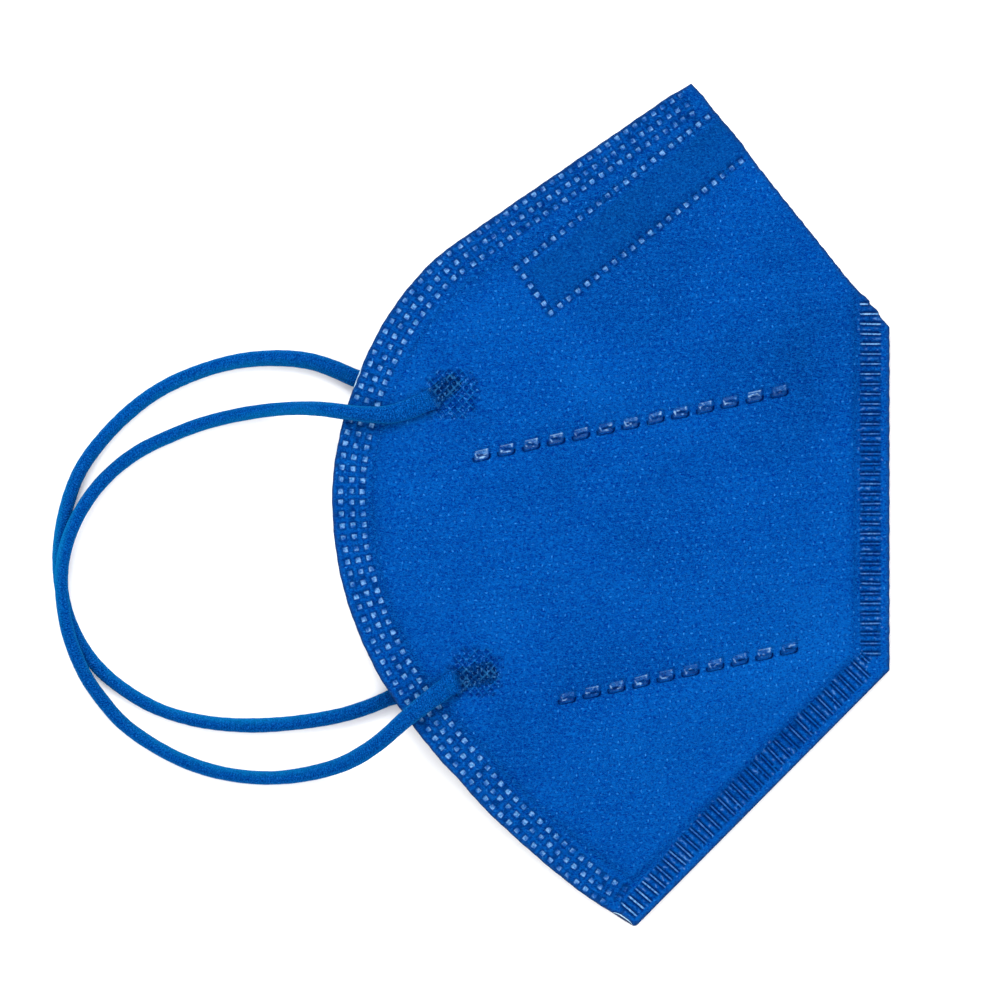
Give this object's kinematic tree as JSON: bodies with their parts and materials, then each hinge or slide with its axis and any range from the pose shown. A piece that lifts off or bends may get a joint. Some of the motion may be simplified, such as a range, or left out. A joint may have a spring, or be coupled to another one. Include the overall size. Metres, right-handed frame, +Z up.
{
  "type": "disposable fold-flat respirator with ear loops",
  "caption": "Fold-flat filtering half mask folded in two along its nose crease, welded down its front and chin, with a nose clip inside and two round elastic ear loops",
  "frame": {"origin": "On the surface that the folded body lies on, under the middle of the body's outline; the ear loops aren't counted.", "axes": "+Y runs along the straight front seam from the chin to the nose, +X from the open face edge to the front seam, +Z up from the surface through the two halves."},
  "size_m": [0.1591, 0.16, 0.0146],
  "materials": {
    "laminate": "matte point-bonded nonwoven",
    "elastic": "soft knitted round elastic",
    "clip_metal": "satin"
  },
  "bodies": {
    "root": {"mask_body": "laminate", "nose_clip": "clip_metal", "ear_loop_near": "elastic", "ear_loop_far": "elastic", "loop_end_near_upper": "elastic", "loop_end_near_lower": "elastic", "loop_end_far_upper": "elastic", "loop_end_far_lower": "elastic"}
  },
  "joints": []
}
